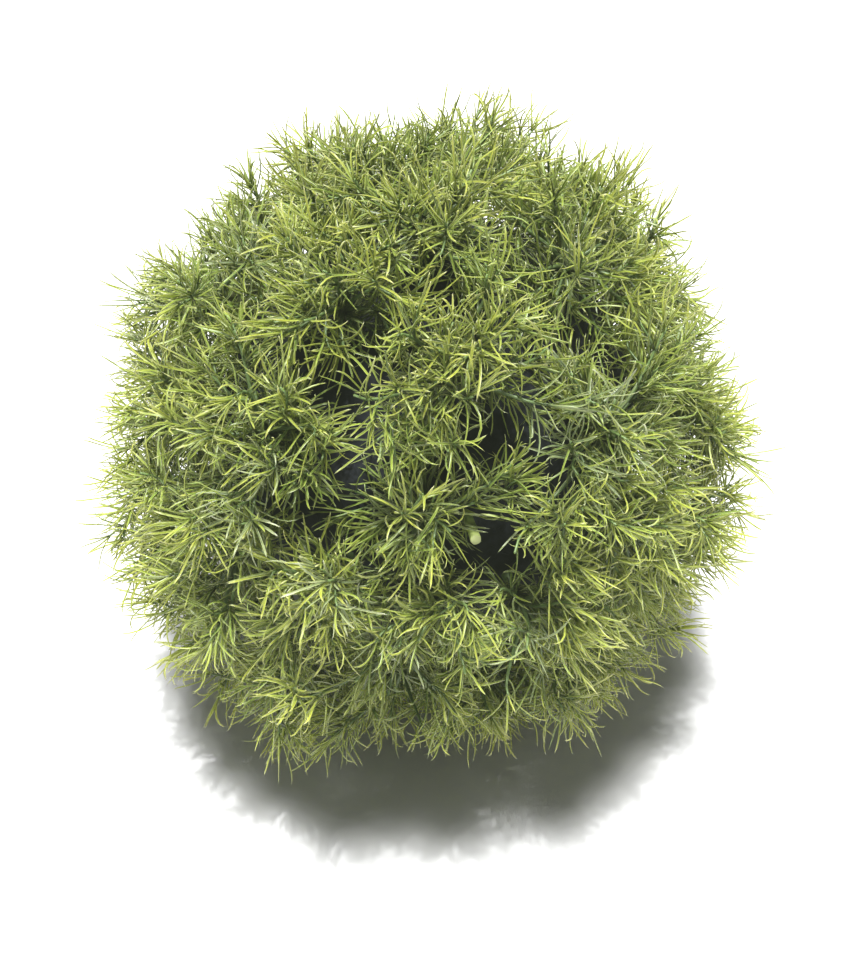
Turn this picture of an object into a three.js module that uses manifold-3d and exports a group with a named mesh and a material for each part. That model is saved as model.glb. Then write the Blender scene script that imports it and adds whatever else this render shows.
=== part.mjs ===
// Kokedama-style ball of fine needle foliage, in millimetres, +Z up.
// A moss-covered root ball stands in the middle. Leafy sprigs are pushed into it
// all round, the underside included. Each sprig is a short stem that forks into
// branchlets, and each branchlet ends in a star of narrow pointed leaves.
// The origin is the middle of the small flat spot the ball rests on.
import * as THREE from 'three';
import { mergeVertices } from 'three/addons/utils/BufferGeometryUtils.js';
import Module from 'manifold-3d';

// ---- driving dimensions, mm and degrees ----
const CENTRE_Z = 104;        // height of the ball's middle above the surface it rests on
const CORE_R = 72;           // root ball
const CORE_BUMP = 1.3;       // unevenness of the moss
const STEM_ROOT_R = 60;      // stems reach this far in, measured from the ball's middle
const COLLAR_R = 73.7;       // the stem's lowest leaves spring here, just clear of the moss
const COLLAR_STEP = 2.9;
const STEM_TOP_R = 79;       // top of the fork
const STEM_RAD = 2.6;        // stem radius at its root
const HEAD_RAD = 4.6;        // stem radius from the lowest leaves to the fork
const PLUG_CLEAR = 0.45;     // clearance below a stem's root
const HOLE_CLEAR = 0.95;     // clearance round a stem, at the corners of its six-sided hole
const HUB_RAD = 2.7;         // swelling at a branchlet's end, where its leaves spring
const HUB_BACK = 13;         // distance from a star's tips back to its hub
const LEAF_UP = 15;          // length of the inner leaves
const LEAF_OUT = 17;         // length of the outer leaves
const COLLAR_LEAF = 25;      // length of the leaves low on the stem
const BRANCH_RAD = 1.3;      // branchlet radius above the fork
const GAP = 0.45;            // clearance kept between neighbouring stars of leaves
const STUB_AZ = -80.5, STUB_EL = 19.7;   // cut stem left bare at the front
const STUB_RAD = 1.6, STUB_TIP_R = 86.5;

// ---- one row for each sprig: its name, then its stars of leaves as
// [azimuth, elevation, distance of the tips from the ball's middle, 1 if blue-green] ----
const SPRIGS = [
  ['crown_sprig', [[-18.2, 82.9, 112.9, 0], [-81.1, 74.1, 113.6, 0], [-161.7, 77.5, 113.4, 0]]],
  ['top_sprig_1', [[-110.4, 64, 111.4, 0], [-124.9, 54.3, 112.8, 0], [-153.6, 63, 112.2, 0]]],
  ['top_sprig_2', [[135.7, 74.9, 110.1, 0], [131.1, 63.8, 106.7, 0], [90, 73.1, 107.9, 0], [103.9, 63.6, 106.6, 0], [173.2, 67.5, 108.8, 0]]],
  ['top_sprig_3', [[76.5, 48.3, 117.2, 0], [94.4, 49.5, 107.4, 0], [67, 60.4, 114.5, 0]]],
  ['top_sprig_4', [[-10.7, 48.4, 107.8, 0], [11.7, 58.3, 112.1, 0], [2.1, 67.8, 107.6, 0], [-40, 58, 110.2, 0]]],
  ['top_sprig_5', [[-77, 52.7, 113.2, 0], [-98.2, 55.1, 111.4, 0], [-86.1, 38, 107.9, 0], [-59.8, 50.9, 111.2, 0], [-105.8, 45.6, 113, 0], [-65.2, 64.4, 113.9, 0]]],
  ['upper_sprig_1', [[-120.6, 30.4, 109.3, 1], [-122.3, 43.5, 113, 0], [-146.3, 38, 111.2, 0], [-146.9, 27.5, 109.9, 0], [-123.2, 20.3, 111.5, 1]]],
  ['upper_sprig_2', [[-176.5, 39.6, 112, 0], [162.2, 38.2, 103.9, 0], [174.8, 28.1, 115.7, 1], [-161.3, 41.7, 110.9, 0]]],
  ['upper_sprig_3', [[149.4, 33.4, 104.4, 0], [139.5, 24.6, 104.5, 0], [149.3, 47.4, 108, 0]]],
  ['upper_sprig_4', [[132, 45.6, 113.8, 0], [112.7, 53.9, 105.9, 1], [121.5, 36.6, 111.6, 0]]],
  ['upper_sprig_5', [[124, 20.3, 111, 0], [111, 29.5, 106.7, 0], [110.7, 18.7, 110.2, 0]]],
  ['upper_sprig_6', [[90, 30.1, 107.9, 0], [86.7, 19.7, 108.5, 0], [74.6, 35, 117, 0], [76.5, 24.2, 113, 1], [100.3, 24.6, 115.5, 0], [100.6, 39.5, 106.3, 0]]],
  ['upper_sprig_7', [[50.5, 43.3, 107.1, 0], [43.8, 33.5, 111, 0], [47.4, 55, 109.5, 0], [62.1, 37.5, 110.6, 0], [27.1, 45.9, 113.6, 0]]],
  ['upper_sprig_8', [[24.2, 30.2, 107.2, 0], [23.2, 17.9, 105.9, 0], [8.8, 30.3, 105.9, 0], [33.6, 22.3, 108.1, 0]]],
  ['upper_sprig_9', [[-49.3, 31.9, 110.5, 1], [-36.6, 25.5, 106.7, 0], [-26, 42.4, 113.2, 0], [-66.9, 24.4, 113.1, 0]]],
  ['upper_sprig_10', [[-86.1, 25.1, 107.2, 0], [-92.9, 19.5, 109.9, 0], [-94.5, 28.8, 111.5, 0]]],
  ['middle_sprig_1', [[-91.6, 5.9, 109, 0], [-83.4, 10.5, 108.8, 0], [-84.1, -1.5, 113.4, 0]]],
  ['middle_sprig_2', [[-105.2, 3, 111.7, 0], [-106.1, 16.7, 114.4, 1], [-116.7, -1.6, 111.4, 0]]],
  ['middle_sprig_3', [[-138.2, 1, 118.3, 0], [-133.6, 16, 114.7, 0], [-129.6, -9.1, 119.8, 0]]],
  ['middle_sprig_4', [[-159.5, -0.4, 114.5, 0], [-149.9, -9.1, 122.5, 0], [-147.5, 16.5, 114.4, 0]]],
  ['middle_sprig_5', [[-167.3, 15, 110.5, 0], [-166.2, 6.4, 114.5, 0], [-163, 29, 107.8, 0]]],
  ['middle_sprig_6', [[169.8, 4, 103.8, 0], [164.9, 14.7, 115.7, 0], [-177.8, 2.6, 111.3, 0]]],
  ['middle_sprig_7', [[151.8, 10.9, 114.4, 0], [150.5, 21.5, 106.3, 0], [153.6, 1.1, 114.6, 0]]],
  ['middle_sprig_8', [[138.8, 3.3, 108.5, 1], [139.2, -11.6, 111, 0], [121.9, -4, 109.5, 0]]],
  ['middle_sprig_9', [[99.3, -0.3, 114.2, 0], [103.6, 10.3, 115, 0], [115.6, 9.4, 109.2, 0]]],
  ['middle_sprig_10', [[83.1, 8.9, 111.9, 0], [70.3, -4.7, 110.7, 0], [81.1, -5.7, 113.3, 0], [70.4, 15.3, 109.2, 1]]],
  ['middle_sprig_11', [[47.6, 10.4, 112.7, 0], [58.4, 14.3, 109.7, 0], [45.4, 22.3, 111, 0], [52.8, 0.4, 115.1, 0], [39.5, 0.5, 111.8, 0], [64.7, 25.8, 109.3, 0]]],
  ['middle_sprig_12', [[22.7, -1.3, 101.8, 0], [12.6, -6.7, 109.1, 0], [12.8, 4.4, 102.3, 0], [19.5, -14.7, 108.3, 0], [2.4, -10.6, 115.4, 0]]],
  ['middle_sprig_13', [[-3.7, 17, 102.9, 0], [-20, 16.1, 112.5, 0], [-15.2, 5.5, 115.4, 0], [7.6, 14.7, 101.8, 0], [-4.7, -3, 115, 0], [-14.2, 34.1, 106.7, 0]]],
  ['middle_sprig_14', [[-46.6, 15, 113.6, 0], [-56.8, 20.3, 111.5, 0], [-42.1, 2.6, 113.4, 0]]],
  ['middle_sprig_15', [[-65.8, 7.9, 111.5, 0], [-73.9, 1.4, 111.7, 1], [-63.9, -4.9, 113, 0], [-76.7, -9.1, 114.5, 0]]],
  ['lower_sprig_1', [[-92.6, -7.5, 98.2, 0], [-112.1, -11, 119.5, 0], [-84.3, -19.5, 114.2, 0]]],
  ['lower_sprig_2', [[-101.1, -31.4, 108.9, 0], [-99.1, -41.2, 110.1, 0], [-91, -27.8, 112.2, 0]]],
  ['lower_sprig_3', [[-128.5, -25.4, 114.5, 0], [-118.1, -29, 128.1, 0], [-137.1, -33.4, 127.2, 0]]],
  ['lower_sprig_4', [[-155.3, -18.8, 121.5, 0], [-138.1, -18.5, 120.9, 0], [-163.2, -27.7, 121.5, 0], [-149.6, -37.2, 123.1, 0]]],
  ['lower_sprig_5', [[-168.1, -17.8, 125.3, 0], [-172.7, -7.1, 117.4, 0], [177.7, -17.7, 118.6, 0]]],
  ['lower_sprig_6', [[174.8, -31.8, 109.9, 0], [164.5, -23.7, 106.3, 0], [-175.6, -26.1, 124.9, 0]]],
  ['lower_sprig_7', [[164.2, -11.9, 110, 0], [175.3, -6.8, 112.9, 0], [153.3, -15, 116.2, 0]]],
  ['lower_sprig_8', [[125.2, -24.1, 112.9, 0], [125.2, -43.9, 115.8, 1], [147.6, -26.7, 112.8, 0]]],
  ['lower_sprig_9', [[114.5, -19, 106.9, 0], [99.8, -24.2, 109.5, 0], [113.9, -29.8, 104.9, 0], [104, -11.3, 111.1, 0]]],
  ['lower_sprig_10', [[68.6, -29.1, 110.9, 0], [79.3, -24.5, 110.3, 0], [60.6, -21.3, 109.9, 0], [57.8, -33.9, 113.3, 0], [89.1, -18.6, 112.3, 0], [60.6, -10.8, 115.5, 0]]],
  ['lower_sprig_11', [[44.8, -27.7, 114.2, 0], [48.9, -18.1, 109.5, 0], [27.2, -22.7, 113.4, 1], [36.4, -10.1, 114.6, 0], [42.7, -38.4, 112.5, 0]]],
  ['lower_sprig_12', [[-0.3, -27.4, 119.5, 0], [12.1, -35.7, 113.1, 0], [8.3, -19.6, 116.7, 0], [-0.3, -42.3, 113.1, 0], [-5.1, -18, 119.9, 0]]],
  ['lower_sprig_13', [[-25.1, -18.9, 114.3, 0], [-27.6, -7.7, 117.1, 0], [-13.3, -9.2, 119.6, 0], [-40.5, -14.3, 99.8, 0], [-22.3, -29, 114.4, 0], [-30.6, 3.1, 114.5, 0]]],
  ['lower_sprig_14', [[-60, -27.4, 120, 0], [-48.3, -23.7, 116.4, 0], [-47, -35.2, 118.6, 0]]],
  ['under_sprig_1', [[-131.8, -47.8, 129.3, 0], [-119.7, -54.5, 123.4, 0], [-109.9, -46.5, 113.2, 0]]],
  ['under_sprig_2', [[-126.6, -65.9, 107.2, 0], [-150.3, -74.9, 112, 0], [-144.1, -57.5, 129.6, 0], [-97.1, -70.1, 110.6, 0]]],
  ['under_sprig_3', [[-162.8, -48, 110, 0], [-175.6, -40, 108.2, 0], [-177.3, -52.2, 111.7, 0]]],
  ['under_sprig_4', [[171.5, -71.6, 103.8, 0], [138.5, -69.3, 114.6, 0], [168.9, -59.3, 107.3, 0]]],
  ['under_sprig_5', [[144.9, -47.6, 111.3, 0], [151.9, -36.9, 107.9, 0], [169.2, -43.5, 110.7, 0]]],
  ['under_sprig_6', [[115.3, -53.2, 107.6, 0], [110, -67.3, 105.8, 0], [129.9, -58.3, 112.6, 0]]],
  ['under_sprig_7', [[67.4, -46.7, 113.4, 0], [76.8, -57.2, 112.5, 0], [86.9, -47.7, 109.2, 0], [60.9, -66.3, 108, 0]]],
  ['under_sprig_8', [[16.2, -48.9, 110.8, 0], [41.7, -59.8, 114.3, 0], [26.2, -39.8, 108.4, 0]]],
  ['under_sprig_9', [[-40.4, -54.4, 120, 0], [-19.8, -40.7, 116.6, 0], [-35, -34.1, 117.6, 0], [-49.3, -44.4, 120.2, 0], [-13.7, -53.6, 111.3, 0]]],
  ['under_sprig_10', [[-29.2, -78.8, 104.9, 0], [-14, -65.8, 110.3, 0], [-60.4, -65.7, 114.1, 0]]],
  ['under_sprig_11', [[-84.6, -40.8, 112.8, 0], [-64.9, -38.1, 116, 0], [-80.1, -58, 112.9, 0], [-59.7, -54.8, 116.9, 0], [-75.6, -32.6, 114.1, 0]]],
  ['foot_sprig', [[0, -90, 109, 0], [43.7, -76.2, 116, 0], [85.1, -75.1, 110.2, 0]]],
];

const wasm = await Module();
wasm.setup();

const rad = THREE.MathUtils.degToRad;
const UP = new THREE.Vector3(0, 0, 1);
const direction = (az, el) => new THREE.Vector3(
  Math.cos(rad(az)) * Math.cos(rad(el)), Math.sin(rad(az)) * Math.cos(rad(el)), Math.sin(rad(el)));

function toSolid(geometry) {
  const g = geometry.index ? geometry.clone() : geometry.clone();
  g.deleteAttribute('normal');
  g.deleteAttribute('uv');
  const m = mergeVertices(g, 1e-4);
  return new wasm.Manifold(new wasm.Mesh({
    numProp: 3,
    vertProperties: new Float32Array(m.attributes.position.array),
    triVerts: new Uint32Array(m.index.array),
  }));
}

function toGeometry(solid) {
  const m = solid.getMesh();
  const g = new THREE.BufferGeometry();
  const p = new Float32Array(m.numVert * 3);
  for (let i = 0; i < m.numVert; i++)
    for (let k = 0; k < 3; k++) p[3 * i + k] = m.vertProperties[m.numProp * i + k];
  g.setAttribute('position', new THREE.BufferAttribute(p, 3));
  g.setIndex(new THREE.BufferAttribute(new Uint32Array(m.triVerts), 1));
  g.computeVertexNormals();
  return g;
}

// ---- the stars, and the cone of space that each one keeps to ----
const stars = [];
for (const [name, rows] of SPRIGS)
  for (const [az, el, reach, blue] of rows)
    stars.push({ name, dir: direction(az, el), reach, blue });
for (const s of stars) {
  s.walls = [];
  for (const t of stars) {
    if (t === s || t.dir.dot(s.dir) < Math.cos(rad(32))) continue;
    s.walls.push(s.dir.clone().sub(t.dir).normalize());
  }
}
const inside = (star, p, margin = GAP / 2) => star.walls.every((n) => n.dot(p) >= margin);

// a leaf on the three-cornered face a, b, c: it points straight out from the middle point,
// so no two leaves of one hub can cross, and it ends where its room or the surface ends
function putLeaf(put, room, middle, [a, b, c], length) {
  const base = a.clone().add(b).add(c).divideScalar(3);
  const go = base.clone().sub(middle).normalize();
  let len = length;
  const end = () => middle.clone().addScaledVector(go, len);
  while (len > 4.2 && (!inside(room, end()) || end().z < -CENTRE_Z)) len -= 0.25;
  const tip = end();
  if (tip.z < -CENTRE_Z + 0.3 && tip.z > -CENTRE_Z - 0.3) {   // it just touches the surface
    const t = (-CENTRE_Z - middle.z) / go.z;
    tip.copy(middle).addScaledVector(go, t);
    tip.z = -CENTRE_Z;
  }
  put(a, b, tip, b, c, tip, c, a, tip);
}

// one star of leaves: a hub of twenty faces, of which the five behind give way to the
// branchlet; put() takes its triangles, and foot is the face of the fork it grows from
function growStar(star, put, foot, onFoot) {
  const d = star.dir;
  const e1 = new THREE.Vector3(0, 1, 0).cross(d);
  if (e1.length() < 0.1) e1.set(1, 0, 0);
  e1.addScaledVector(d, -e1.dot(d)).normalize();
  const e2 = d.clone().cross(e1);
  const side = (deg) => e1.clone().multiplyScalar(Math.cos(rad(deg))).addScaledVector(e2, Math.sin(rad(deg)));

  // the lowest branchlets stop short of the surface
  const most = d.z < -0.2 ? (CENTRE_Z - 4.2) / -d.z : Infinity;
  const hub = onFoot ? CENTRE_Z - 2.6 : Math.min(star.reach - HUB_BACK, most);
  const middle = d.clone().multiplyScalar(hub);

  // the star is turned so that its leaves find the most room
  const roomAt = (deg) => {
    let sum = 0;
    for (let k = 0; k < 5; k++) {
      let r = 18;
      while (r > 3 && !inside(star, middle.clone().addScaledVector(side(deg + 72 * k), r))) r -= 0.5;
      sum += Math.sqrt(r);
    }
    return sum;
  };
  let start = 0, best = -1;
  for (let deg = 0; deg < 72; deg += 9) if (roomAt(deg) > best) { best = roomAt(deg); start = deg; }

  const ring = (angle, deg, radius = HUB_RAD) => [0, 1, 2, 3, 4].map((m) => middle.clone()
    .addScaledVector(d, radius * Math.cos(rad(angle)))
    .addScaledVector(side(deg + 72 * m), radius * Math.sin(rad(angle))));
  const low = ring(116.6, start);
  const high = onFoot ? ring(50, start + 36, 2.6 / Math.cos(rad(50))) : ring(63.4, start + 36);
  for (let m = 0; m < 5; m++) {
    const n = (m + 1) % 5;
    putLeaf(put, star, middle, [low[m], low[n], high[m]], LEAF_OUT);
    putLeaf(put, star, middle, [high[m], low[n], high[n]], LEAF_OUT);
    if (!onFoot) {
      const peak = middle.clone().addScaledVector(d, HUB_RAD);
      putLeaf(put, star, middle, [high[m], high[n], peak], LEAF_UP);
    }
  }
  if (onFoot) for (let m = 1; m < 4; m++) put(high[0], high[m], high[m + 1]);

  // the branchlet: three sides at the fork, drawn in at once, five at the hub
  const centre = foot[0].clone().add(foot[1]).add(foot[2]).divideScalar(3);
  const way = middle.clone().sub(centre).normalize();
  const neck = foot.map((p) => {
    const q = p.clone().sub(centre);
    q.addScaledVector(way, -q.dot(way));
    return centre.clone().addScaledVector(way, 1.8).addScaledVector(q.normalize(), BRANCH_RAD);
  });
  for (let m = 0; m < 3; m++) {
    const n = (m + 1) % 3;
    put(foot[m], foot[n], neck[n], foot[m], neck[n], neck[m]);
  }
  const around = (p) => {
    const q = p.clone().sub(p === neck[0] || p === neck[1] || p === neck[2]
      ? neck[0].clone().add(neck[1]).add(neck[2]).divideScalar(3) : middle);
    return (Math.atan2(q.dot(e2), q.dot(e1)) * 180 / Math.PI + 360) % 360;
  };
  // stitch the three corners to the five
  const turnTo = (x, y) => (((y - x) % 360) + 540) % 360 - 180;
  let j = 0;
  for (let m = 1; m < 5; m++)
    if (Math.abs(turnTo(around(neck[0]), around(low[m]))) < Math.abs(turnTo(around(neck[0]), around(low[j])))) j = m;
  let i = 0, steps3 = 0, steps5 = 0;
  while (steps3 < 3 || steps5 < 5) {
    const a = neck[i], b = low[j], an = neck[(i + 1) % 3], bn = low[(j + 1) % 5];
    const ahead3 = steps3 + 1 - 3 * (steps5 + 0.5) / 5, ahead5 = steps5 + 1 - 5 * (steps3 + 0.5) / 3;
    if (steps5 < 5 && (steps3 >= 3 || ahead5 / 5 <= ahead3 / 3)) { put(a, bn, b); j = (j + 1) % 5; steps5++; }
    else { put(a, an, b); i = (i + 1) % 3; steps3++; }
  }
}

// a whole sprig about the ball's middle: stem, fork, branchlets and stars
function sprigGeometry(name, own, axis) {
  const u = new THREE.Vector3(0, 1, 0).cross(axis);
  if (u.length() < 0.1) u.set(1, 0, 0);
  u.addScaledVector(axis, -u.dot(axis)).normalize();
  const v = axis.clone().cross(u);
  const angleOf = (s) => ((Math.atan2(s.dir.dot(v), s.dir.dot(u)) * 180 / Math.PI) + 360) % 360;
  const order = own.slice().sort((a, b) => angleOf(a) - angleOf(b));
  const n = order.length;
  // the fork's faces follow the stars round, evened out so that none is a sliver
  const gaps = order.map((s, k) => ((angleOf(order[(k + 1) % n]) - angleOf(s)) + 360) % 360 || (n === 1 ? 360 : 0));
  const even = gaps.map((g) => 0.35 * g + 0.65 * 360 / n);
  const middle = [0];
  for (let k = 1; k < n; k++) middle.push(middle[k - 1] + even[k - 1]);
  let sx = 0, sy = 0;
  order.forEach((s, k) => {
    const off = rad(angleOf(s) - middle[k]);
    const w = 1 - s.dir.dot(axis) + 0.002;
    sx += w * Math.cos(off); sy += w * Math.sin(off);
  });
  const shift = Math.atan2(sy, sx) * 180 / Math.PI;
  // each star's face spans from half way to the star before to half way to the star after
  const edge = middle.map((m, k) => shift + m - even[(k + n - 1) % n] / 2);
  const corner = edge.map((e, k) => (e + edge[(k + n - 1) % n] - (k ? 0 : 360)) / 2);
  const at = (deg, radius, distance) => axis.clone().multiplyScalar(distance)
    .addScaledVector(u, radius * Math.cos(rad(deg))).addScaledVector(v, radius * Math.sin(rad(deg)));
  const low = corner.map((c) => at(c, STEM_RAD, STEM_ROOT_R));
  const collar = corner.map((c) => at(c, HEAD_RAD, COLLAR_R));
  const high = edge.map((e) => at(e, HEAD_RAD, COLLAR_R + COLLAR_STEP));
  const heart = axis.clone().multiplyScalar(COLLAR_R + 0.25 * COLLAR_STEP);
  const peak = axis.clone().multiplyScalar(STEM_TOP_R);
  // the lowest leaves have the room of the whole sprig
  const room = { walls: sprigs.filter((t) => t.name !== name && t.axis.dot(axis) > Math.cos(rad(45)))
    .map((t) => axis.clone().sub(t.axis).normalize()) };
  const position = [];
  const put = (...pts) => pts.forEach((p) => position.push(p.x, p.y, p.z));
  for (let k = 0; k < n; k++) {
    const j = (k + 1) % n;
    put(low[k], low[j], collar[j], low[k], collar[j], collar[k]);
    putLeaf(put, room, heart, [collar[k], collar[j], high[k]], COLLAR_LEAF);
    putLeaf(put, room, heart, [high[k], collar[j], high[j]], COLLAR_LEAF);
    if (k > 0 && k < n - 1) put(low[0], low[k + 1], low[k]);
    growStar(order[k], put, [high[k], high[j], peak], name === 'foot_sprig' && order[k].dir.z < -0.9999);
  }
  const g = new THREE.BufferGeometry();
  g.setAttribute('position', new THREE.BufferAttribute(new Float32Array(position), 3));
  return g;
}

// ---- the hole a stem sits in ----
function holeGeometry() {
  const grow = (HEAD_RAD - STEM_RAD) / (COLLAR_R - STEM_ROOT_R);
  const length = CORE_R + 6 - STEM_ROOT_R + PLUG_CLEAR;
  const g = new THREE.CylinderGeometry(
    STEM_RAD + grow * length + HOLE_CLEAR, STEM_RAD + HOLE_CLEAR, length, 6);
  g.rotateX(Math.PI / 2).translate(0, 0, STEM_ROOT_R - PLUG_CLEAR + length / 2);
  return g;
}

const group = new THREE.Group();
const ball = new THREE.Group();
ball.position.z = CENTRE_Z;
group.add(ball);

const leafMaterial = { name: 'leaf', color: 0x93a94c, roughness: 0.45, metalness: 0 };
const blueMaterial = { name: 'blue_leaf', color: 0x7c9468, roughness: 0.4, metalness: 0 };

// ---- root ball: an uneven moss ball with a hole for each stem ----
function coreGeometry() {
  const g = new THREE.IcosahedronGeometry(CORE_R, 3);
  const p = g.attributes.position;
  const v = new THREE.Vector3();
  for (let i = 0; i < p.count; i++) {
    v.fromBufferAttribute(p, i).normalize();
    const bump = Math.sin(5.1 * v.x + 2.3 * v.z + 0.7) * Math.sin(4.7 * v.y - 1.9 * v.x + 1.1)
      + 0.6 * Math.sin(9.3 * v.z + 3.1 * v.y) * Math.sin(8.1 * v.x - 2.2 * v.z + 0.4);
    v.multiplyScalar(CORE_R + CORE_BUMP * (bump - 0.6) / 1.6);
    p.setXYZ(i, v.x, v.y, v.z);
  }
  return g;
}
let core = toSolid(coreGeometry());

const sprigs = [];
for (const [name, rows] of SPRIGS) {
  const own = stars.filter((s) => s.name === name);
  const axis = name === 'foot_sprig' ? new THREE.Vector3(0, 0, -1)
    : own.reduce((sum, s) => sum.add(s.dir), new THREE.Vector3()).normalize();
  sprigs.push({ name, own, axis, turn: new THREE.Quaternion().setFromUnitVectors(UP, axis) });
}

for (const { axis, turn: q } of sprigs) {
  const hole = holeGeometry();
  hole.applyQuaternion(q);
  core = core.subtract(toSolid(hole));
}
const stubAxis = direction(STUB_AZ, STUB_EL);
const stubTurn = new THREE.Quaternion().setFromUnitVectors(UP, stubAxis);
const stubHole = new THREE.CylinderGeometry(STUB_RAD + PLUG_CLEAR, STUB_RAD + PLUG_CLEAR, 24, 8);
stubHole.rotateX(Math.PI / 2).translate(0, 0, STEM_ROOT_R + 12 - PLUG_CLEAR).applyQuaternion(stubTurn);
core = core.subtract(toSolid(stubHole));

const coreMesh = new THREE.Mesh(toGeometry(core),
  new THREE.MeshStandardMaterial({ name: 'moss', color: 0x2b2f24, roughness: 0.95, metalness: 0 }));
coreMesh.name = 'core_ball';
ball.add(coreMesh);

// ---- bare cut stem ----
const stubLength = STUB_TIP_R - STEM_ROOT_R;
const stub = new THREE.CylinderGeometry(STUB_RAD * 0.92, STUB_RAD, stubLength, 8);
stub.rotateX(Math.PI / 2);
const stubMesh = new THREE.Mesh(stub,
  new THREE.MeshStandardMaterial({ name: 'stem', color: 0x9fbf6a, roughness: 0.5, metalness: 0 }));
stubMesh.name = 'stem_stub';
stubMesh.position.copy(stubAxis).multiplyScalar(STEM_ROOT_R + stubLength / 2);
stubMesh.quaternion.copy(stubTurn);
ball.add(stubMesh);

// ---- the sprigs ----
for (const { name, own, axis, turn: q } of sprigs) {
  const raw = sprigGeometry(name, own, axis);
  // the sprig's own frame: its root end at the origin, its stem along +Z
  raw.applyQuaternion(q.clone().invert());
  raw.translate(0, 0, -STEM_ROOT_R);
  const g = mergeVertices(raw, 1e-4);
  g.computeVertexNormals();
  const blue = own.filter((s) => s.blue).length * 2 > own.length;
  const mesh = new THREE.Mesh(g, new THREE.MeshStandardMaterial(blue ? blueMaterial : leafMaterial));
  mesh.name = name;
  mesh.position.copy(axis).multiplyScalar(STEM_ROOT_R);
  mesh.quaternion.copy(q);
  ball.add(mesh);
}

export default group;
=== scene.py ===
"""Kokedama-style ball of fine needle foliage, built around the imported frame.

Every sprig is one detailed piece: its stem, branchlets and narrow curved leaves.
Lengths are metres, +Z up. Azimuth -90 is the front, towards the camera.
"""

import math

import bpy
import numpy as np
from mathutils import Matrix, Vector


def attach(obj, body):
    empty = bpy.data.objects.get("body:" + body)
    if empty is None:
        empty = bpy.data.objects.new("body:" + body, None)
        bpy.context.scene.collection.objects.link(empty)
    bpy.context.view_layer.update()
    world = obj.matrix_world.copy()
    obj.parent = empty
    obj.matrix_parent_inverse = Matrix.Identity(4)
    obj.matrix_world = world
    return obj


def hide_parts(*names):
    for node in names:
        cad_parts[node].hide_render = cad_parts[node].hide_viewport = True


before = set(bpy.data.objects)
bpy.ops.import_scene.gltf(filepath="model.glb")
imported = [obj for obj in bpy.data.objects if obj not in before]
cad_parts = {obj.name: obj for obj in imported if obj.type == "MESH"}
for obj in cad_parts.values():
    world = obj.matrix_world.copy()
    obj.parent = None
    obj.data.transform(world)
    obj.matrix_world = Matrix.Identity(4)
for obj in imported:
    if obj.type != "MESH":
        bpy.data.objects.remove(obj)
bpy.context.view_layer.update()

# ---- driving dimensions, metres ----
CENTRE = np.array([0.0, 0.0, 0.104])
CORE_R = 0.0715
STEM_FOOT_R = 0.066
FORK_R = 0.0790
LEAF_L = 0.0142          # an ordinary leaf
LEAF_W = 0.00057
LEAF_T = 0.00038
CLEAR = 0.86            # share of the leaves missing in the barest cleft
RINGS = 6
STUB_AZ, STUB_EL = -80.5, 19.7
STUB_FOOT_R, STUB_TIP_R, STUB_RAD = 0.0660, 0.0865, 0.0016

# a leaf's colour is read from its map: across it lies the colour band, along it
# the way from the leaf's foot to its tip. The deep bands 20-21 are dark green given
# to leaves deep inside the foliage: painted shade
BANDS = 24               # 0-11 yellow-green, 12-19 blue-green, 20-21 deep, 22-23 stem
YELLOW, BLUE, DEEP_SHADE, STEM = (0, 12), (12, 8), (20, 2), (22, 2)

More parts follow.
